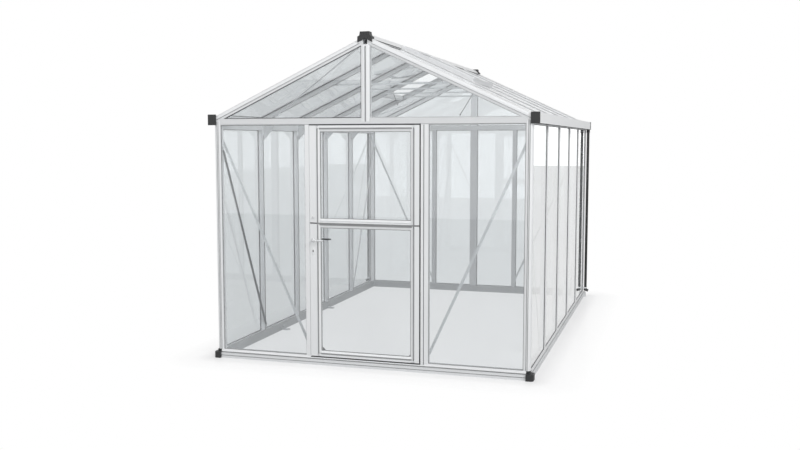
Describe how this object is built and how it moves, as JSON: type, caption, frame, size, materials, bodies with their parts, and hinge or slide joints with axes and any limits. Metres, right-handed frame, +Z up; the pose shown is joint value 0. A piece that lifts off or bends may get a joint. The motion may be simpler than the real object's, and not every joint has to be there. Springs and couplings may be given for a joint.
{
  "type": "glass greenhouse",
  "caption": "Free-standing aluminium greenhouse glazed on all sides, with a gabled roof, hinged roof vents, gutters and a split door with a lever handle.",
  "frame": {"origin": "on the ground, at the middle of the base frame", "axes": "+X to the right of the door front, +Y from the door front to the back gable, +Z up"},
  "size_m": [2.5588, 3.769, 2.4629],
  "materials": {
    "aluminium_frame": "satin anodised",
    "plate_metal": "satin",
    "glass": "clear",
    "black_plastic": "moulded",
    "black_pipe": "satin",
    "handle_metal": "satin",
    "dark_hinge": "satin"
  },
  "bodies": {
    "frame": {"base_side_rails": "aluminium_frame", "base_end_rails": "aluminium_frame", "base_corner_caps": "black_plastic", "anchor_brackets": "plate_metal", "corner_posts": "aluminium_frame", "right_wall_bars": "aluminium_frame", "left_wall_bars": "aluminium_frame", "door_posts": "aluminium_frame", "hinge_strip": "aluminium_frame", "back_wall_posts": "aluminium_frame", "gable_beams": "aluminium_frame", "gable_posts": "aluminium_frame", "gable_rafters": "aluminium_frame", "right_eave": "aluminium_frame", "left_eave": "aluminium_frame", "gutter_end_caps": "black_plastic", "downpipes": "black_pipe", "pipe_clips": "aluminium_frame", "ridge_beam": "aluminium_frame", "ridge_end_caps": "black_plastic", "right_roof_bars": "aluminium_frame", "left_roof_bars": "aluminium_frame", "collar_ties": "aluminium_frame", "knee_plates": "plate_metal", "gable_braces": "aluminium_frame", "wall_braces": "aluminium_frame", "roof_braces": "aluminium_frame", "right_wall_glass": "glass", "left_wall_glass": "glass", "front_wall_glass": "glass", "back_wall_glass": "glass", "gable_glass": "glass", "right_roof_glass": "glass", "left_roof_glass": "glass", "vent_sills": "aluminium_frame", "right_vent_sash": "aluminium_frame", "left_vent_sash": "aluminium_frame", "vent_glass": "glass", "vent_stays": "plate_metal", "frame_hinges": "dark_hinge"},
    "lower_leaf": {"lower_leaf_frame": "aluminium_frame", "lower_leaf_glass": "glass", "lower_leaf_plates": "plate_metal", "lower_leaf_hinges": "dark_hinge", "door_rosettes": "handle_metal", "door_lock": "handle_metal"},
    "upper_leaf": {"upper_leaf_frame": "aluminium_frame", "upper_leaf_glass": "glass", "upper_leaf_hinges": "dark_hinge", "upper_leaf_knob": "handle_metal"},
    "handle": {"door_handle": "handle_metal"}
  },
  "joints": [
    {"name": "lower_leaf_hinge", "type": "hinge", "parent": "frame", "child": "lower_leaf", "pos_m": [0.4145, -1.845, 0.5], "axis": [0, 0, 1], "range_deg": [0, 105]},
    {"name": "upper_leaf_hinge", "type": "hinge", "parent": "frame", "child": "upper_leaf", "pos_m": [0.4145, -1.845, 1.4], "axis": [0, 0, 1], "range_deg": [0, 105]},
    {"name": "handle_turn", "type": "hinge", "parent": "lower_leaf", "child": "handle", "pos_m": [-0.412, -1.845, 0.945], "axis": [0, 1, 0], "range_deg": [0, 40], "stiffness_Nm_per_rad": 1.2, "springref_deg": -20.05}
  ]
}
